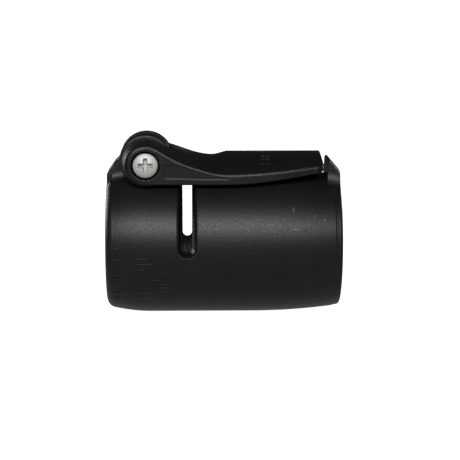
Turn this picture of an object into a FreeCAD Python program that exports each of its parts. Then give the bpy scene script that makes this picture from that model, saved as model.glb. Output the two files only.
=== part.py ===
# Quick-release clamp collar for a telescopic tube pair: 40 mm outer tube, 36 mm inner tube.
# The origin is on the tube axis at the middle of the collar's length.
# +X runs along the tubes to the mouth of the fixed sleeve, +Z points to the lever.
# The lever turns about a screw that crosses the split ears along Y.
import FreeCAD, Part
import math
import os

os.makedirs("parts", exist_ok=True)

V = FreeCAD.Vector
ORIGIN = V(0, 0, 0)
X_AXIS = V(1, 0, 0)
Y_AXIS = V(0, 1, 0)

# collar
half_length = 38.65
collar_r = 23.9
clamp_end_r = 22.58
mouth_r = 21.83
sleeve_r = 20.05
inner_way_r = 18.45
stop_x = -7.5
barrel_x0 = -24.0
barrel_x1 = 10.0
rim_x = 36.3
end_round = 3.0
mouth_round = 0.9
bore_chamfer = 0.6
rim_step = 0.15

# slot that frees the clamp ring from the sleeve
slot_x = -12.0
slot_half = 1.6
slot_outer_half = 2.5
slot_lip = 1.2
slot_end_angle = -0.7
slit_width = 2.0

# ears and pivot
pivot_x = -25.55
pivot_z = 26.7
ear_r = 8.8
ear_rise = 0.7
ear_half = 7.6
ear_round = 1.0
ear_root_fillet = 4.0
washer_gap = 0.8
screw_r = 2.0
ear_hole_r = 2.08

# end lug that guards the lever's tip
lug_x = 34.1
lug_top_r = 28.4
lug_half = 8.9
lug_root_fillet = 6.0
lug_tip_z = 28.3
lug_end_z = 24.0

# lever
hub_face = 16.8
hub_r = 6.9
hub_root_r = 7.9
hub_round = 1.8
arm_round = 1.3
shell_in_r = 26.45
shell_tip_in_r = 27.4
shell_out_r = 29.9
handle_rim_z = 22.6
crest_x = 1.0
thin_x = 8.0
tip_x = 33.1
boss_gap = 0.5
pocket_depth = 0.15

# fasteners: M4 pan head screw, washer and self-locking nut
head_r = 4.0
head_height = 3.1
counterbore_r = 4.7
washer_r = 4.0
washer_thick = 0.5
head_seat = 13.4
screw_tip = 16.6
nut_flats = 7.0
nut_seat = 11.4
nut_hex_height = 3.4
nut_collar_height = 1.4
nut_collar_r = 3.1
nut_wall = 0.5
nut_lip = 0.2
nut_play = 0.15
recess_span = 4.2
recess_width = 0.9
recess_depth = 1.9
dome_r = 7.5
head_rim_height = 1.0

# grip liner
liner_x0 = -35.6
liner_x1 = -16.4
liner_out_r = 19.95
liner_in_r = 18.1
liner_gap = 3.0


def save(shape, name):
    shape = shape.Solids[0]
    print(name, shape.ShapeType, shape.isValid(), len(shape.Solids), round(shape.Volume, 1))
    shape.exportStep("parts/" + name + ".step")


def flat_face(edges):
    return Part.Face(Part.Wire(edges))


def line(a, b):
    return Part.makeLine(a, b)


def arc(a, b, c):
    return Part.Arc(a, b, c).toShape()


def polygon(points):
    return Part.Face(Part.makePolygon(points + [points[0]]))


def cylinder_y(radius, y0, y1):
    return Part.makeCylinder(radius, y1 - y0, V(pivot_x, y0, pivot_z), Y_AXIS)


def tube_x(radius, x0, x1):
    return Part.makeCylinder(radius, x1 - x0, V(x0, 0, 0), X_AXIS)


def both_sides(shape):
    return [shape, shape.mirror(ORIGIN, Y_AXIS)]


def hub_cone(gap, y0, y1):
    # the hub's drafted outside, grown by a gap, between two distances from the middle plane
    slope = (hub_r - hub_root_r) / (hub_face - ear_half)
    r0 = hub_root_r + gap + slope * (y0 - ear_half)
    r1 = hub_root_r + gap + slope * (y1 - ear_half)
    return Part.makeCone(r0, r1, y1 - y0, V(pivot_x, y0, pivot_z), Y_AXIS)


def collar_blank():
    # half section turned about the tube axis, walked from the clamp end along the outside
    xl, xr = -half_length, half_length
    k = 1 - math.sqrt(0.5)
    corner_x = xl + end_round - 0.25
    left_mid_x = (barrel_x0 + corner_x) / 2
    left_mid_r = collar_r - (collar_r - clamp_end_r) / 4
    rim_r = mouth_r + 0.37
    right_mid_x = (barrel_x1 + rim_x) / 2
    right_mid_r = collar_r - (collar_r - rim_r) / 4
    corner_mid = V(xl + k * end_round, 0, clamp_end_r - k * end_round)
    mouth_mid = V(xr - k * mouth_round, 0, mouth_r - k * mouth_round)
    edges = [
        line(V(xl, 0, inner_way_r + bore_chamfer), V(xl, 0, clamp_end_r - end_round)),
        arc(V(xl, 0, clamp_end_r - end_round), corner_mid, V(corner_x, 0, clamp_end_r)),
        arc(V(corner_x, 0, clamp_end_r), V(left_mid_x, 0, left_mid_r), V(barrel_x0, 0, collar_r)),
        line(V(barrel_x0, 0, collar_r), V(barrel_x1, 0, collar_r)),
        arc(V(barrel_x1, 0, collar_r), V(right_mid_x, 0, right_mid_r), V(rim_x, 0, rim_r)),
        line(V(rim_x, 0, rim_r), V(rim_x + rim_step, 0, rim_r - rim_step)),
        line(V(rim_x + rim_step, 0, rim_r - rim_step), V(xr - mouth_round, 0, mouth_r)),
        arc(V(xr - mouth_round, 0, mouth_r), mouth_mid, V(xr, 0, mouth_r - mouth_round)),
        line(V(xr, 0, mouth_r - mouth_round), V(xr, 0, sleeve_r + bore_chamfer)),
        line(V(xr, 0, sleeve_r + bore_chamfer), V(xr - bore_chamfer, 0, sleeve_r)),
        line(V(xr - bore_chamfer, 0, sleeve_r), V(stop_x, 0, sleeve_r)),
        line(V(stop_x, 0, sleeve_r), V(stop_x, 0, inner_way_r)),
        line(V(stop_x, 0, inner_way_r), V(liner_x1, 0, inner_way_r)),
        line(V(liner_x1, 0, inner_way_r), V(liner_x1, 0, liner_out_r)),
        line(V(liner_x1, 0, liner_out_r), V(liner_x0, 0, liner_out_r)),
        line(V(liner_x0, 0, liner_out_r), V(liner_x0, 0, inner_way_r)),
        line(V(liner_x0, 0, inner_way_r), V(xl + bore_chamfer, 0, inner_way_r)),
        line(V(xl + bore_chamfer, 0, inner_way_r), V(xl, 0, inner_way_r + bore_chamfer)),
    ]
    return flat_face(edges).revolve(ORIGIN, X_AXIS, 360)


def ear_block():
    # boss round the pivot, run down into the ring, with a gusset to the clamp end
    a = math.radians(15)
    centre_z = pivot_z + ear_rise
    tangent = V(pivot_x - ear_r * math.cos(a), 0, centre_z + ear_r * math.sin(a))
    top = V(pivot_x, 0, centre_z + ear_r)
    right = V(pivot_x + ear_r, 0, centre_z)
    base_z = 19.0
    gusset_end = V(-half_length + 0.2, 0, 23.0)
    gusset_top = V(-36.0, 0, 26.6)
    gusset_mid = V((gusset_top.x + tangent.x) / 2 + 0.25, 0, (gusset_top.z + tangent.z) / 2 - 0.15)
    edges = [
        line(V(gusset_end.x, 0, base_z), gusset_end),
        line(gusset_end, gusset_top),
        arc(gusset_top, gusset_mid, tangent),
        arc(tangent, top, right),
        line(right, V(right.x, 0, base_z)),
        line(V(right.x, 0, base_z), V(gusset_end.x, 0, base_z)),
    ]
    block = flat_face(edges).extrude(V(0, 2 * ear_half, 0))
    block.translate(V(0, -ear_half, 0))
    rim = [e for e in block.Edges
           if abs(abs(e.CenterOfMass.y) - ear_half) < 0.01 and e.CenterOfMass.z > base_z + 3.0]
    return block.makeFillet(ear_round, rim)


def root_wire(x, half, surface_r, fillet_r, low):
    # cross-section of a rib on the ring: flat flanks with concave fillets into the ring
    yc = half + fillet_r
    zc = math.sqrt((surface_r + fillet_r) ** 2 - yc ** 2)
    foot_y = yc * surface_r / (surface_r + fillet_r)
    foot_z = zc * surface_r / (surface_r + fillet_r)
    foot_angle = math.atan2(foot_z - zc, foot_y - yc)
    mid_angle = (foot_angle - math.pi) / 2
    mid_y = yc + fillet_r * math.cos(mid_angle)
    mid_z = zc + fillet_r * math.sin(mid_angle)
    return Part.Wire([
        line(V(x, -half, zc), V(x, half, zc)),
        arc(V(x, half, zc), V(x, mid_y, mid_z), V(x, foot_y, foot_z)),
        line(V(x, foot_y, foot_z), V(x, foot_y, low)),
        line(V(x, foot_y, low), V(x, -foot_y, low)),
        line(V(x, -foot_y, low), V(x, -foot_y, foot_z)),
        arc(V(x, -foot_y, foot_z), V(x, -mid_y, mid_z), V(x, -half, zc)),
    ])


def turned_end(points):
    # solid of revolution about the tube axis that trims what stands on the ring's ends
    return polygon(points).revolve(ORIGIN, X_AXIS, 360)


def ear_roots():
    # fillets between the ear flanks and the ring; they run out round the clamp end
    low = 18.5
    x0, x1, x2 = -half_length, -30.0, pivot_x + ear_r
    outer = Part.makeLoft([
        root_wire(x0, ear_half, clamp_end_r - 0.45, ear_root_fillet, low),
        root_wire(x1, ear_half, collar_r - 0.36, ear_root_fillet, low),
    ], True, True)
    inner = Part.makeLoft([
        root_wire(x1, ear_half, collar_r - 0.36, ear_root_fillet, low),
        root_wire(x2, ear_half, collar_r - 0.02, ear_root_fillet, low),
    ], True, True)
    trim = turned_end([
        V(x0 + 0.75, 0, 15), V(x0 + 0.75, 0, 21.6), V(x0 + 2.2, 0, 24.3), V(x0 + 3.4, 0, 27.0),
        V(x0 + 4.2, 0, 31), V(x2, 0, 31), V(x2, 0, 15),
    ])
    return outer.fuse(inner).common(trim)


def end_lug():
    # raised segment with a steep inner face and a long outer ramp
    low = 17.0
    x0, x1 = lug_x, half_length - 0.1
    side = polygon([
        V(x0, -20, low), V(x0 + 0.5, -20, lug_tip_z - 0.3), V(x0 + 0.75, -20, lug_tip_z),
        V(x1, -20, lug_end_z), V(x1, -20, low),
    ]).extrude(V(0, 40, 0))
    root = Part.makeLoft([
        root_wire(x0, lug_half, mouth_r + 0.45, lug_root_fillet, low),
        root_wire(x1, lug_half, mouth_r - 0.35, lug_root_fillet, low),
    ], True, True)
    top_block = Part.makeBox(x1 - x0, 2 * lug_half, 12, V(x0, -lug_half, low))
    trim = turned_end([
        V(x0, 0, 15), V(x0, 0, lug_top_r), V(x0 + 1.0, 0, lug_top_r), V(x1, 0, 24.6),
        V(x1, 0, 21.4), V(x1, 0, 15),
    ])
    return root.fuse(top_block).common(side).common(trim)


def slot_half_profile():
    # from the slot's middle to its wall, up the drafted wall and out over the rounded lip
    low, high = inner_way_r - 2, collar_r + 1
    lip_r = collar_r - slot_lip
    wide = slot_outer_half + slot_lip
    k = slot_lip * (1 - math.sqrt(0.5))
    return [
        line(V(0, 0, low), V(slot_half, 0, low)),
        line(V(slot_half, 0, low), V(slot_half, 0, inner_way_r)),
        line(V(slot_half, 0, inner_way_r), V(slot_outer_half, 0, lip_r)),
        arc(V(slot_outer_half, 0, lip_r), V(slot_outer_half + k, 0, collar_r - k), V(wide, 0, collar_r)),
        line(V(wide, 0, collar_r), V(wide, 0, high)),
        line(V(wide, 0, high), V(0, 0, high)),
        line(V(0, 0, high), V(0, 0, low)),
    ]


def slot_cutter():
    # half-turn groove with full-round ends
    half_face = flat_face(slot_half_profile())
    end = half_face.revolve(ORIGIN, V(0, 0, 1), 360)
    groove = half_face.fuse(half_face.mirror(ORIGIN, X_AXIS)).removeSplitter()
    half_turn = 90 + slot_end_angle
    groove.rotate(ORIGIN, X_AXIS, -half_turn)
    cutter = groove.revolve(ORIGIN, X_AXIS, 2 * half_turn)
    for turn in (-half_turn, half_turn):
        tip = end.copy()
        tip.rotate(ORIGIN, X_AXIS, turn)
        cutter = cutter.fuse(tip)
    cutter.translate(V(slot_x, 0, 0))
    return cutter


def make_collar():
    bore = tube_x(inner_way_r, -half_length - 1, stop_x + 1)
    bore = bore.fuse(tube_x(sleeve_r, stop_x, half_length + 1))
    bore = bore.fuse(tube_x(liner_out_r, liner_x0, liner_x1))
    upper = ear_block().fuse([ear_roots(), end_lug()]).cut(bore)
    collar = collar_blank().fuse(upper)
    # relief that lets the hubs turn beside the ears
    hub_way = hub_cone(0.35, ear_half, hub_face + 3)
    cutters = both_sides(hub_way)
    cutters.append(slot_cutter())
    slit_length = slot_x + half_length + 1
    cutters.append(Part.makeBox(slit_length, slit_width, 30, V(-half_length - 1, -slit_width / 2, 10)))
    cutters.append(cylinder_y(ear_hole_r, -20, 20))
    for cutter in cutters:
        collar = collar.cut(cutter)
    return collar


def lever_section(x, crown_z, rim_z, half):
    low = 12.0
    return Part.Wire([
        arc(V(x, -half, rim_z), V(x, 0, crown_z), V(x, half, rim_z)),
        line(V(x, half, rim_z), V(x, half, low)),
        line(V(x, half, low), V(x, -half, low)),
        line(V(x, -half, low), V(x, -half, rim_z)),
    ])


def lever_blank():
    # one solid through cross-sections, domed over the fork and round over the handle
    half = hub_face + 1.0
    neck = [
        (pivot_x - 2.0, 34.9, 33.2),
        (pivot_x, 34.9, 33.3),
        (-22.0, 34.0, 32.2),
        (-18.3, 32.6, 29.9),
        (-14.4, 31.3, 27.6),
        (-10.2, 29.85, 25.9),
        (-6.2, 28.95, 24.5),
        (-3.4, 28.8, 23.6),
        (-1.2, 29.25, 23.1),
    ]
    sections = [lever_section(x, crown, rim, half) for x, crown, rim in neck]
    front = Part.makeLoft(sections, True, False)
    crest, end = [lever_section(x, shell_out_r, handle_rim_z, half) for x in (crest_x, tip_x + 2)]
    middle = Part.makeLoft([sections[-1], crest], True, True)
    handle = Part.makeLoft([crest, end], True, True)
    return front.fuse([middle, handle])


def lever_plan():
    # outline from above, mirrored about the middle plane
    w_hub, w_mid, w_end, w_tip = hub_face, 16.0, 13.7, 10.6
    x_mid, x_end = 15.0, 29.6
    x0, z0 = pivot_x, 5.0
    edges = []
    for s in (1, -1):
        edges.append(line(V(x0, s * w_hub, z0), V(0, s * w_hub, z0)))
        edges.append(arc(V(0, s * w_hub, z0), V(x_mid, s * w_mid, z0), V(x_end, s * w_end, z0)))
        edges.append(arc(V(x_end, s * w_end, z0), V(32.3, s * 12.6, z0), V(tip_x, s * w_tip, z0)))
    edges.append(line(V(tip_x, w_tip, z0), V(tip_x, -w_tip, z0)))
    edges.append(line(V(x0, w_hub, z0), V(x0, -w_hub, z0)))
    return Part.Face(Part.Wire(Part.__sortEdges__(edges))).extrude(V(0, 0, 40))


def side_pocket():
    # shallow wedge pocket in the flat flank of the fork
    outline = polygon([
        V(-19.2, -hub_face, 26.9), V(-14.5, -hub_face, 26.8), V(-12.9, -hub_face, 26.3),
        V(-7.7, -hub_face, 24.6), V(-2.8, -hub_face, 23.4), V(1.6, -hub_face, 22.5),
        V(1.6, -hub_face, 22.2), V(-6.0, -hub_face, 22.2), V(-19.4, -hub_face, 22.6),
    ])
    pocket = outline.extrude(V(0, pocket_depth + 1, 0))
    pocket.translate(V(0, -1, 0))
    return pocket


def shell_inside():
    # the space under the handle, round the collar and wider towards the tip
    x0, x1 = pivot_x - 12, tip_x + 4
    r1 = shell_in_r + (shell_tip_in_r - shell_in_r) * (x1 - thin_x) / (tip_x - thin_x)
    straight = tube_x(shell_in_r, x0, thin_x)
    flare = Part.makeCone(shell_in_r, r1, x1 - thin_x, V(thin_x, 0, 0), X_AXIS)
    return straight.fuse(flare)


def top_rims(body):
    # the outer edges of the two flanks, where the domed top ends
    found = []
    for e in body.Edges:
        low = min(math.hypot(v.Point.y, v.Point.z) for v in e.Vertexes)
        if abs(e.CenterOfMass.y) > 9.0 and low > shell_out_r - 2.0:
            found.append(e)
    return found


def rounded_hub():
    # drafted hub with a rounded outer rim
    y0, y1 = ear_half + washer_gap, hub_face
    k = hub_round * (1 - math.sqrt(0.5))
    at_round = y1 - hub_round
    r_round = hub_r + (hub_root_r - hub_r) * hub_round / (hub_face - ear_half)
    px, pz = pivot_x, pivot_z
    profile = flat_face([
        line(V(px, y0, pz), V(px, y0, pz + hub_root_r)),
        line(V(px, y0, pz + hub_root_r), V(px, at_round, pz + r_round)),
        arc(V(px, at_round, pz + r_round), V(px, y1 - k, pz + r_round - k),
            V(px, y1, pz + r_round - hub_round)),
        line(V(px, y1, pz + r_round - hub_round), V(px, y1, pz)),
        line(V(px, y1, pz), V(px, y0, pz)),
    ])
    return profile.revolve(V(px, 0, pz), Y_AXIS, 360)


def make_lever():
    body = lever_blank().common(lever_plan())
    body = body.cut(shell_inside())
    # slanted end face over the notch
    slant = polygon([
        V(tip_x + 0.1, -20, 24), V(tip_x - 1.2, -20, 31), V(tip_x + 4, -20, 31), V(tip_x + 4, -20, 24),
    ]).extrude(V(0, 40, 0))
    body = body.cut(slant)
    behind = Part.makeBox(40, 60, 60, V(pivot_x - 40, -30, 0))
    body = body.cut(behind)
    body = body.makeFillet(arm_round, top_rims(body))
    inner = ear_half + washer_gap
    body = body.fuse(both_sides(rounded_hub()))
    ear_way = ear_r + ear_rise + boss_gap
    body = body.cut(cylinder_y(ear_way, -inner, inner))
    return body


def finish_lever(body):
    for pocket in both_sides(side_pocket()):
        body = body.cut(pocket)
    body = body.cut(cylinder_y(ear_hole_r, -20, 20))
    body = body.cut(cylinder_y(counterbore_r, -20, -head_seat + washer_thick))
    return body.cut(hexagon(nut_flats + nut_play, nut_seat, 20))


def hexagon(flats, y0, y1):
    points = []
    for i in range(6):
        a = math.radians(60 * i + 30)
        r = flats / 2 / math.cos(math.radians(30))
        points.append(V(pivot_x + r * math.cos(a), y0, pivot_z + r * math.sin(a)))
    return polygon(points).extrude(V(0, y1 - y0, 0))


def make_screw():
    # pan head with a cross recess, plain shank at the thread's outer size
    head = cylinder_y(head_r, -head_seat - head_height, -head_seat)
    centre_y = -head_seat - head_height + dome_r
    dome = Part.makeSphere(dome_r, V(pivot_x, centre_y, pivot_z))
    rim = cylinder_y(head_r, -head_seat - head_rim_height, -head_seat)
    head = head.common(dome).fuse(rim)
    shank = cylinder_y(screw_r, -head_seat, screw_tip)
    screw = head.fuse(shank)
    for turn in (0, 90):
        corner = V(-recess_span / 2, -0.1, -recess_width / 2)
        wing = Part.makeBox(recess_span, recess_depth + 0.1, recess_width, corner)
        wing.rotate(ORIGIN, Y_AXIS, turn)
        wing.translate(V(pivot_x, -head_seat - head_height, pivot_z))
        screw = screw.cut(wing)
    return screw.removeSplitter()


def washer(outer_r, inner_r, y0, thick):
    return cylinder_y(outer_r, y0, y0 + thick).cut(cylinder_y(inner_r, y0 - 1, y0 + thick + 1))


def make_nut():
    hex_part = hexagon(nut_flats, nut_seat, nut_seat + nut_hex_height)
    top = nut_seat + nut_hex_height + nut_collar_height
    collar = cylinder_y(nut_collar_r, nut_seat, top)
    nut = hex_part.fuse(collar).cut(cylinder_y(screw_r, 0, 30))
    return nut.cut(cylinder_y(nut_collar_r - nut_wall, top - nut_collar_height + nut_lip, top - nut_lip))


def make_insert():
    y0 = nut_seat + nut_hex_height + nut_lip
    return washer(nut_collar_r - nut_wall, screw_r, y0, nut_collar_height - 2 * nut_lip)


def make_liner():
    ring = tube_x(liner_out_r, liner_x0, liner_x1).cut(tube_x(liner_in_r, liner_x0 - 1, liner_x1 + 1))
    gap = Part.makeBox(40, liner_gap, 30, V(liner_x0 - 5, -liner_gap / 2, 0))
    return ring.cut(gap)


save(make_collar(), "clamp_collar")
save(make_liner(), "grip_liner")
save(finish_lever(make_lever()), "cam_lever")
save(washer(hub_root_r - 0.1, ear_hole_r + 0.1, -ear_half - washer_gap, washer_gap), "near_thrust_washer")
save(washer(hub_root_r - 0.1, ear_hole_r + 0.1, ear_half, washer_gap), "far_thrust_washer")
save(washer(washer_r, ear_hole_r + 0.1, -head_seat, washer_thick), "head_washer")
save(make_screw(), "pivot_screw")
save(make_nut(), "lock_nut")
save(make_insert(), "nut_insert")
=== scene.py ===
import math
import bpy
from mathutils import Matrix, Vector


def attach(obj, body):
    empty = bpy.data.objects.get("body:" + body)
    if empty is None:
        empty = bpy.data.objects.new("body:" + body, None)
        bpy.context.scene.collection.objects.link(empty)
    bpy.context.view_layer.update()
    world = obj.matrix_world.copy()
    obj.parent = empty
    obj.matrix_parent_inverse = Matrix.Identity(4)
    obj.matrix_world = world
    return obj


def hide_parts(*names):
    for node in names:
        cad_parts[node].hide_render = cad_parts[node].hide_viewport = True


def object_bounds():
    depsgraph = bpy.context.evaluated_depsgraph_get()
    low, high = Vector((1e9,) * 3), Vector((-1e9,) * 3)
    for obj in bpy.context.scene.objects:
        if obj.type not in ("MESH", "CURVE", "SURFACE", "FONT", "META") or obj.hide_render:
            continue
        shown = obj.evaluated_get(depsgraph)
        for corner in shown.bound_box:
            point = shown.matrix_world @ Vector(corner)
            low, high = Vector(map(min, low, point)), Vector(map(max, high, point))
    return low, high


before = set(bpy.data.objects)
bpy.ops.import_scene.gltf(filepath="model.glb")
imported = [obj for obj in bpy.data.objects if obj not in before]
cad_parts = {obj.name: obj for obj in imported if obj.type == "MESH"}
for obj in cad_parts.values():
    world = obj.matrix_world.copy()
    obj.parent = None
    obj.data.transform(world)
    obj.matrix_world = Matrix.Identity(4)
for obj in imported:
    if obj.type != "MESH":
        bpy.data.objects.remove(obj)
cad_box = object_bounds()

# Studio: one large softbox in front, above the camera, and two weak ones behind the collar.
# The surround glows from below and is nearly dark above, so the black plastic keeps its outlines.
scene = bpy.context.scene
scene.view_settings.view_transform = "Standard"

world = bpy.data.worlds.new("studio")
world.use_nodes = True
world_nodes, world_links = world.node_tree.nodes, world.node_tree.links
sky_direction = world_nodes.new("ShaderNodeTexCoord")
sky_height = world_nodes.new("ShaderNodeSeparateXYZ")
sky_ramp = world_nodes.new("ShaderNodeMapRange")
sky_ramp.interpolation_type = "SMOOTHSTEP"
sky_ramp.inputs["From Min"].default_value = -0.45
sky_ramp.inputs["From Max"].default_value = 0.05
sky_ramp.inputs["To Min"].default_value = 0.41
sky_ramp.inputs["To Max"].default_value = 0.03
world_nodes["Background"].inputs["Color"].default_value = (1.0, 1.0, 1.0, 1.0)
world_links.new(sky_direction.outputs["Generated"], sky_height.inputs["Vector"])
world_links.new(sky_height.outputs["Z"], sky_ramp.inputs["Value"])
world_links.new(sky_ramp.outputs["Result"], world_nodes["Background"].inputs["Strength"])
scene.world = world


def aim(obj, place, target):
    obj.location = place
    obj.rotation_euler = (Vector(target) - Vector(place)).to_track_quat("-Z", "Y").to_euler()


def softbox(name, place, target, size, power):
    lamp = bpy.data.lights.new(name, "AREA")
    lamp.shape = "RECTANGLE"
    lamp.size, lamp.size_y = size
    lamp.energy = power
    obj = bpy.data.objects.new(name, lamp)
    scene.collection.objects.link(obj)
    aim(obj, place, target)
    return obj


collar_middle = (0.0, 0.0, 0.0)
softbox("key", (-0.05, -0.60, 0.345), collar_middle, (0.60, 0.20), 6.0)
softbox("left_rear_fill", (-0.50, 0.40, 0.12), collar_middle, (0.30, 0.20), 1.6)
softbox("right_rear_fill", (0.50, 0.40, 0.12), collar_middle, (0.30, 0.20), 1.6)

# The camera stands a little above the collar and has a long lens.
camera_target = Vector((0.00235, 0.0, 0.0032))
camera_distance = 0.571
camera_azimuth = math.radians(-1.3)
camera_elevation = math.radians(8.5)
away = Vector((
    math.sin(camera_azimuth) * math.cos(camera_elevation),
    -math.cos(camera_azimuth) * math.cos(camera_elevation),
    math.sin(camera_elevation),
))
camera = bpy.data.objects.new("camera", bpy.data.cameras.new("camera"))
scene.collection.objects.link(camera)
camera.data.lens = 133.0
camera.data.sensor_width = 36.0
aim(camera, camera_target + away * camera_distance, camera_target)
scene.camera = camera

# The floor is a glowing sheet that the collar lies on. It throws no light on the collar and
# isn't mirrored in it.
floor_z = cad_box[0][2]
floor_width = 80.0
bpy.ops.object.select_all(action="DESELECT")
bpy.ops.mesh.primitive_plane_add(size=floor_width, location=(0.0, 0.0, floor_z))
floor = bpy.context.object
floor.name = "floor"
floor.visible_diffuse = False
floor.visible_glossy = False
floor_paint = bpy.data.materials.new("floor_paper")
floor_paint.use_nodes = True
paper = floor_paint.node_tree.nodes["Principled BSDF"]
paper.inputs["Base Color"].default_value = (0.6, 0.6, 0.6, 1.0)
paper.inputs["Roughness"].default_value = 0.9
paper.inputs["Specular IOR Level"].default_value = 0.0
paper.inputs["Emission Color"].default_value = (1.0, 1.0, 1.0, 1.0)
paper.inputs["Emission Strength"].default_value = 1.0
floor.data.materials.append(floor_paint)


# clamp_collar: sleeve, split ring, ears and end lug, moulded in one shot of glass-filled nylon.
# The spark-eroded mould gives it a fine even grain, and the black is a little cloudy.
# The sleeve has a few pale scuffs from handling.
def scuff_and_highlight_mask(nodes, links, place, scuff_and_highlight_marks):
    """Soft spots over the surface, for scuffs and for painted highlights; each mark is a centre and
    three half sizes.
    """
    spot_edge, spot_core = 1.0, 0.35
    total = None
    for centre, size in scuff_and_highlight_marks:
        offset = nodes.new("ShaderNodeVectorMath")
        offset.operation = "SUBTRACT"
        offset.inputs[1].default_value = centre
        scaled = nodes.new("ShaderNodeVectorMath")
        scaled.operation = "DIVIDE"
        scaled.inputs[1].default_value = size
        reach = nodes.new("ShaderNodeVectorMath")
        reach.operation = "LENGTH"
        spot = nodes.new("ShaderNodeMapRange")
        spot.interpolation_type = "SMOOTHSTEP"
        spot.inputs["From Min"].default_value = spot_edge
        spot.inputs["From Max"].default_value = spot_core
        links.new(place.outputs["Object"], offset.inputs[0])
        links.new(offset.outputs["Vector"], scaled.inputs[0])
        links.new(scaled.outputs["Vector"], reach.inputs[0])
        links.new(reach.outputs["Value"], spot.inputs["Value"])
        if total is None:
            total = spot.outputs["Result"]
            continue
        merge = nodes.new("ShaderNodeMath")
        merge.operation = "MAXIMUM"
        links.new(total, merge.inputs[0])
        links.new(spot.outputs["Result"], merge.inputs[1])
        total = merge.outputs["Value"]
    return total


def moulded_nylon(name, colour, roughness, edge_radius, scuff_and_highlight_marks, scuff_and_highlight_colour):
    material = bpy.data.materials.new(name)
    material.use_nodes = True
    nodes, links = material.node_tree.nodes, material.node_tree.links
    shader = nodes["Principled BSDF"]
    shader.inputs["Specular IOR Level"].default_value = 0.27
    place = nodes.new("ShaderNodeTexCoord")

    # The black is cloudy on the scale of a few millimetres.
    darkest, palest = 0.6, 1.4
    cloud = nodes.new("ShaderNodeTexNoise")
    cloud.inputs["Scale"].default_value = 140.0
    cloud.inputs["Detail"].default_value = 5.0
    tone = nodes.new("ShaderNodeMix")
    tone.data_type = "RGBA"
    tone.inputs["A"].default_value = (*[c * darkest for c in colour], 1.0)
    tone.inputs["B"].default_value = (*[c * palest for c in colour], 1.0)
    links.new(place.outputs["Object"], cloud.inputs["Vector"])
    links.new(cloud.outputs["Fac"], tone.inputs["Factor"])

    # Scuffs, and the painted highlight on the lever's neck, are pale and patchy.
    speckle = nodes.new("ShaderNodeTexNoise")
    speckle.inputs["Scale"].default_value = 900.0
    speckle.inputs["Detail"].default_value = 3.0
    patchy = nodes.new("ShaderNodeMapRange")
    patchy.inputs["From Min"].default_value = 0.10
    patchy.inputs["From Max"].default_value = 0.60
    share = nodes.new("ShaderNodeMath")
    share.operation = "MULTIPLY"
    worn_and_lit = nodes.new("ShaderNodeMix")
    worn_and_lit.data_type = "RGBA"
    worn_and_lit.inputs["B"].default_value = (*scuff_and_highlight_colour, 1.0)
    links.new(place.outputs["Object"], speckle.inputs["Vector"])
    links.new(speckle.outputs["Fac"], patchy.inputs["Value"])
    links.new(patchy.outputs["Result"], share.inputs[0])
    links.new(scuff_and_highlight_mask(nodes, links, place, scuff_and_highlight_marks), share.inputs[1])
    links.new(share.outputs["Value"], worn_and_lit.inputs["Factor"])
    links.new(tone.outputs["Result"], worn_and_lit.inputs["A"])
    links.new(worn_and_lit.outputs["Result"], shader.inputs["Base Color"])

    # The mould's grain varies the gloss, and shows in relief.
    grain = nodes.new("ShaderNodeTexNoise")
    grain.inputs["Scale"].default_value = 1500.0
    grain.inputs["Detail"].default_value = 3.0
    rough = nodes.new("ShaderNodeMapRange")
    rough.inputs["From Min"].default_value = 0.3
    rough.inputs["From Max"].default_value = 0.7
    rough.inputs["To Min"].default_value = roughness - 0.05
    rough.inputs["To Max"].default_value = roughness + 0.06
    bump = nodes.new("ShaderNodeBump")
    bump.inputs["Strength"].default_value = 0.8
    bump.inputs["Distance"].default_value = 0.00005
    links.new(place.outputs["Object"], grain.inputs["Vector"])
    links.new(grain.outputs["Fac"], rough.inputs["Value"])
    links.new(grain.outputs["Fac"], bump.inputs["Height"])
    links.new(rough.outputs["Result"], shader.inputs["Roughness"])

    # No moulded edge is quite sharp.
    edge = nodes.new("ShaderNodeBevel")
    edge.samples = 8
    edge.inputs["Radius"].default_value = edge_radius
    links.new(edge.outputs["Normal"], bump.inputs["Normal"])
    links.new(bump.outputs["Normal"], shader.inputs["Normal"])
    return material


def paint(node, material):
    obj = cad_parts[node]
    for slot in obj.material_slots:
        slot.material = material


sleeve_scuffs = [
    ((0.0225, -0.0203, 0.0126), (0.0005, 0.003, 0.0013)),
    ((0.0293, -0.0208, 0.0106), (0.0004, 0.003, 0.0011)),
    ((0.0325, -0.0208, 0.0094), (0.0005, 0.003, 0.0008)),
    ((0.0232, -0.0230, 0.0066), (0.0021, 0.003, 0.0005)),
]
collar_nylon = moulded_nylon(
    "collar_nylon", (0.0055, 0.0055, 0.0057), 0.42, 0.00025, sleeve_scuffs, (0.05, 0.05, 0.048))
paint("clamp_collar", collar_nylon)


# collar_ticks: fine raised scale strokes on the ring, left of the slot, and an index mark by the mouth.
# They were cut into the mould, so they are the same nylon as the collar.
def add_stroke(centre, turn_x, size):
    edge_share = 0.3
    bpy.ops.object.select_all(action="DESELECT")
    bpy.ops.mesh.primitive_cube_add(size=1.0, location=centre, rotation=(turn_x, 0.0, 0.0))
    stroke = bpy.context.object
    stroke.scale = size
    bpy.ops.object.transform_apply(location=False, rotation=False, scale=True)
    bpy.ops.object.modifier_add(type="BEVEL")
    stroke.modifiers[-1].width = min(size) * edge_share
    stroke.modifiers[-1].segments = 2
    bpy.ops.object.modifier_apply(modifier=stroke.modifiers[-1].name)
    return stroke


def join_strokes(strokes, name):
    bpy.ops.object.select_all(action="DESELECT")
    for stroke in strokes:
        stroke.select_set(True)
    bpy.context.view_layer.objects.active = strokes[0]
    bpy.ops.object.join()
    joined = bpy.context.object
    joined.name = name
    bpy.ops.object.transform_apply(location=True, rotation=True, scale=True)
    return joined


collar_radius = 0.0239
ring_straight_from, ring_draw_length, ring_drawn_in = -0.024, 0.01185, 0.00132
sleeve_straight_to, sleeve_draw_length, sleeve_drawn_in = 0.010, 0.0263, 0.0017


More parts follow.
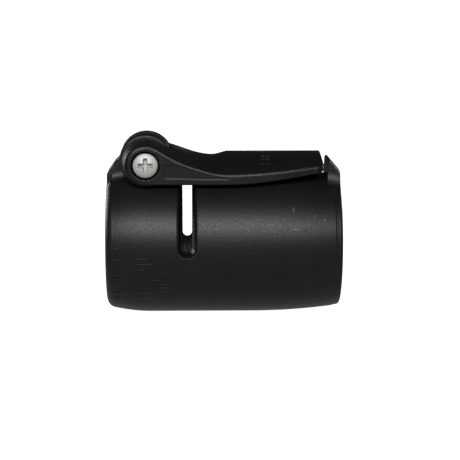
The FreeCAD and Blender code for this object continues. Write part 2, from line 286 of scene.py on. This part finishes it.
def outside_radius(x):
    """Outside of the collar: straight in the middle and drawn in towards both ends."""
    if x < ring_straight_from:
        return collar_radius - ring_drawn_in * ((ring_straight_from - x) / ring_draw_length) ** 2
    if x > sleeve_straight_to:
        return collar_radius - sleeve_drawn_in * ((x - sleeve_straight_to) / sleeve_draw_length) ** 2
    return collar_radius


# Each stroke has its left end, its right end and its angle above the collar's middle, in degrees.
end_column = (
    (-0.0362, -0.0336, 1.2),
    (-0.0362, -0.0312, -8.0),
    (-0.0362, -0.0303, -25.5),
    (-0.0362, -0.0336, -32.8),
    (-0.0362, -0.0300, -41.3),
    (-0.0360, -0.0318, -48.9),
)
middle_column = (
    (-0.0284, -0.0260, -1.5),
    (-0.0284, -0.0246, -6.8),
    (-0.0284, -0.0235, -11.0),
    (-0.0284, -0.0258, -15.6),
    (-0.0292, -0.0236, -38.0),
    (-0.0284, -0.0243, -45.4),
    (-0.0284, -0.0240, -52.0),
)
slot_column = (
    (-0.0210, -0.0182, -19.0),
    (-0.0235, -0.0210, -25.0),
    (-0.0210, -0.0182, -29.0),
    (-0.0210, -0.0182, -32.5),
    (-0.0210, -0.0182, -36.0),
)
index_mark = ((0.0345, 0.0368, 4.1),)
stroke_height, stroke_width = 0.0003, 0.00034
stroke_sink = 0.00002
collar_strokes = []
for left, right, angle in end_column + middle_column + slot_column + index_mark:
    up = math.radians(angle)
    middle = (left + right) / 2
    reach = outside_radius(middle) - stroke_sink
    collar_strokes.append(add_stroke(
        (middle, -reach * math.cos(up), reach * math.sin(up)),
        -up,
        (right - left, stroke_height, stroke_width),
    ))
collar_ticks = join_strokes(collar_strokes, "collar_ticks")
collar_ticks.data.materials.append(collar_nylon)
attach(collar_ticks, "collar")


# cam_lever: the flip lever, a fork with two hubs and a curved handle shell, moulded in one piece.
# It is the same nylon as the collar, a little smoother from handling. A faint pale patch on top of
# its neck is a painted highlight.
neck_painted_highlight = [((-0.0128, -0.0008, 0.0338), (0.0066, 0.0085, 0.0062))]
lever_nylon = moulded_nylon(
    "lever_nylon", (0.005, 0.005, 0.0052), 0.40, 0.00045, neck_painted_highlight, (0.045, 0.045, 0.0435))
paint("cam_lever", lever_nylon)


# lever_ticks: four fine strokes across the handle's near shoulder and two low pads on its crown.
# They were cut into the lever's mould, so they are the same nylon as the lever.
crown_radius, crown_centre_z = 0.02535, 0.00455
crown_sink = 0.00004
# Each stroke has its left end, its right end, its angle round the crown in degrees, and its width.
near_shoulder = (
    (0.0125, 0.0154, 74.9, 0.00030),
    (0.0120, 0.0154, 71.6, 0.00030),
    (0.0118, 0.0154, 67.8, 0.00030),
    (0.0118, 0.0156, 61.3, 0.00040),
)
crown_pads = (
    (0.0096, 0.0154, 88.0, 0.0022),
    (0.0160, 0.0182, 88.0, 0.0022),
)
lever_strokes = []
for left, right, angle, width in near_shoulder + crown_pads:
    up = math.radians(angle)
    middle = (left + right) / 2
    reach = crown_radius - crown_sink
    lever_strokes.append(add_stroke(
        (middle, -reach * math.cos(up), crown_centre_z + reach * math.sin(up)),
        -up,
        (right - left, stroke_height, width),
    ))
lever_ticks = join_strokes(lever_strokes, "lever_ticks")
lever_ticks.data.materials.append(lever_nylon)
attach(lever_ticks, "lever")


# pivot_screw: the M4 pan head screw that the lever turns about, cold headed in steel and zinc plated.
# Its cross recess has tapered wings round a deeper square centre.
def zinc_plate(name, colour, roughness):
    material = bpy.data.materials.new(name)
    material.use_nodes = True
    nodes, links = material.node_tree.nodes, material.node_tree.links
    shader = nodes["Principled BSDF"]
    shader.inputs["Base Color"].default_value = (*colour, 1.0)
    shader.inputs["Metallic"].default_value = 0.3
    place = nodes.new("ShaderNodeTexCoord")
    pits = nodes.new("ShaderNodeTexNoise")
    pits.inputs["Scale"].default_value = 1500.0
    pits.inputs["Detail"].default_value = 4.0
    rough = nodes.new("ShaderNodeMapRange")
    rough.inputs["To Min"].default_value = roughness - 0.08
    rough.inputs["To Max"].default_value = roughness + 0.08
    bump = nodes.new("ShaderNodeBump")
    bump.inputs["Strength"].default_value = 0.3
    bump.inputs["Distance"].default_value = 0.00003
    links.new(place.outputs["Object"], pits.inputs["Vector"])
    links.new(pits.outputs["Fac"], rough.inputs["Value"])
    links.new(pits.outputs["Fac"], bump.inputs["Height"])
    links.new(rough.outputs["Result"], shader.inputs["Roughness"])
    links.new(bump.outputs["Normal"], shader.inputs["Normal"])
    return material


def boolean(target, other, operation):
    bpy.ops.object.select_all(action="DESELECT")
    bpy.context.view_layer.objects.active = target
    target.select_set(True)
    bpy.ops.object.modifier_add(type="BOOLEAN")
    target.modifiers[-1].operation = operation
    target.modifiers[-1].solver = "EXACT"
    target.modifiers[-1].object = other
    bpy.ops.object.modifier_apply(modifier=target.modifiers[-1].name)
    bpy.data.objects.remove(other)


washer_corners = [Vector(corner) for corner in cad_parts["near_thrust_washer"].bound_box]
screw_axis = sum(washer_corners, Vector()) / len(washer_corners)
quarter_turn = math.radians(90.0)
head_seat, head_top = -0.0134, -0.0165
head_radius, dome_radius = 0.004, 0.0068
bpy.ops.object.select_all(action="DESELECT")
bpy.ops.mesh.primitive_cylinder_add(
    vertices=96,
    radius=head_radius,
    depth=head_seat - head_top,
    location=(screw_axis.x, (head_seat + head_top) / 2, screw_axis.z),
    rotation=(quarter_turn, 0.0, 0.0),
)
screw = bpy.context.object
screw.name = "screw"
bpy.ops.object.select_all(action="DESELECT")
bpy.ops.mesh.primitive_uv_sphere_add(
    segments=128,
    ring_count=96,
    radius=dome_radius,
    location=(screw_axis.x, head_top + dome_radius, screw_axis.z),
    rotation=(quarter_turn, 0.0, 0.0),
)
boolean(screw, bpy.context.object, "INTERSECT")

shank_start, shank_end = head_seat - 0.0005, 0.0166
shank_radius = 0.002
bpy.ops.object.select_all(action="DESELECT")
bpy.ops.mesh.primitive_cylinder_add(
    vertices=64,
    radius=shank_radius,
    depth=shank_end - shank_start,
    location=(screw_axis.x, (shank_start + shank_end) / 2, screw_axis.z),
    rotation=(quarter_turn, 0.0, 0.0),
)
boolean(screw, bpy.context.object, "UNION")

# Each cutter is a four-sided cone that stands a little proud of the head.
recess_middle = head_top + 0.0010
wing_mouth, wing_floor, wing_cutter_depth = 0.0041, 0.0022, 0.0026
wing_thinness = 0.29
for wing_turn in (0.0, quarter_turn):
    bpy.ops.object.select_all(action="DESELECT")
    bpy.ops.mesh.primitive_cone_add(
        vertices=4,
        radius1=wing_mouth,
        radius2=wing_floor,
        depth=wing_cutter_depth,
        rotation=(0.0, 0.0, quarter_turn / 2),
    )
    wing = bpy.context.object
    bpy.ops.object.transform_apply(location=False, rotation=True, scale=True)
    wing.scale = (1.0, wing_thinness, 1.0)
    bpy.ops.object.transform_apply(location=False, rotation=False, scale=True)
    wing.rotation_euler = (-quarter_turn, wing_turn, 0.0)
    wing.location = (screw_axis.x, recess_middle, screw_axis.z)
    boolean(screw, wing, "DIFFERENCE")
centre_mouth, centre_floor, centre_cutter_depth = 0.0019, 0.0007, 0.0030
bpy.ops.object.select_all(action="DESELECT")
bpy.ops.mesh.primitive_cone_add(
    vertices=4,
    radius1=centre_mouth,
    radius2=centre_floor,
    depth=centre_cutter_depth,
    location=(screw_axis.x, recess_middle, screw_axis.z),
    rotation=(-quarter_turn, 0.0, 0.0),
)
boolean(screw, bpy.context.object, "DIFFERENCE")

bpy.ops.object.select_all(action="DESELECT")
screw.select_set(True)
bpy.context.view_layer.objects.active = screw
bpy.ops.object.transform_apply(location=True, rotation=True, scale=True)
bpy.ops.object.shade_smooth_by_angle(angle=math.radians(30.0))
screw_zinc = zinc_plate("screw_zinc", (0.47, 0.47, 0.455), 0.52)
screw.data.materials.clear()
screw.data.materials.append(screw_zinc)
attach(screw, "screw")
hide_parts("pivot_screw")


# head_washer and lock_nut: the plain M4 washer under the screw's head, and the hexagonal nut at its
# far end. Both are stock steel parts, zinc plated in bulk and so a little duller than the screw.
part_zinc = zinc_plate("part_zinc", (0.40, 0.40, 0.39), 0.45)
paint("head_washer", part_zinc)
paint("lock_nut", part_zinc)


# nut_insert: the nylon ring rolled into the end of the lock nut, which keeps it from working loose.
# It is dyed blue, as such rings often are.
def plain_plastic(name, colour, roughness, specular, grain_scale, grain_depth):
    darkest, palest = 0.75, 1.25
    material = bpy.data.materials.new(name)
    material.use_nodes = True
    nodes, links = material.node_tree.nodes, material.node_tree.links
    shader = nodes["Principled BSDF"]
    shader.inputs["Specular IOR Level"].default_value = specular
    place = nodes.new("ShaderNodeTexCoord")
    grain = nodes.new("ShaderNodeTexNoise")
    grain.inputs["Scale"].default_value = grain_scale
    grain.inputs["Detail"].default_value = 4.0
    tone = nodes.new("ShaderNodeMix")
    tone.data_type = "RGBA"
    tone.inputs["A"].default_value = (*[c * darkest for c in colour], 1.0)
    tone.inputs["B"].default_value = (*[c * palest for c in colour], 1.0)
    rough = nodes.new("ShaderNodeMapRange")
    rough.inputs["To Min"].default_value = roughness - 0.08
    rough.inputs["To Max"].default_value = roughness + 0.08
    bump = nodes.new("ShaderNodeBump")
    bump.inputs["Strength"].default_value = 0.5
    bump.inputs["Distance"].default_value = grain_depth
    links.new(place.outputs["Object"], grain.inputs["Vector"])
    links.new(grain.outputs["Fac"], tone.inputs["Factor"])
    links.new(grain.outputs["Fac"], rough.inputs["Value"])
    links.new(grain.outputs["Fac"], bump.inputs["Height"])
    links.new(tone.outputs["Result"], shader.inputs["Base Color"])
    links.new(rough.outputs["Result"], shader.inputs["Roughness"])
    links.new(bump.outputs["Normal"], shader.inputs["Normal"])
    return material


nut_nylon = plain_plastic("nut_nylon", (0.03, 0.09, 0.32), 0.38, 0.5, 900.0, 0.00001)
paint("nut_insert", nut_nylon)


# near_thrust_washer, far_thrust_washer: flat rings between each hub and its ear, on which the lever
# turns without wearing the ears. They are black acetal, smooth and faintly waxy.
washer_acetal = plain_plastic("washer_acetal", (0.012, 0.012, 0.012), 0.30, 0.4, 700.0, 0.000005)
paint("near_thrust_washer", washer_acetal)
paint("far_thrust_washer", washer_acetal)


# grip_liner: the split rubber sleeve pressed into the ring's bore, which grips the inner tube.
# It is moulded in a dark rubber, dusty and quite matt.
liner_rubber = plain_plastic("liner_rubber", (0.018, 0.018, 0.018), 0.75, 0.3, 1600.0, 0.00005)
paint("grip_liner", liner_rubber)
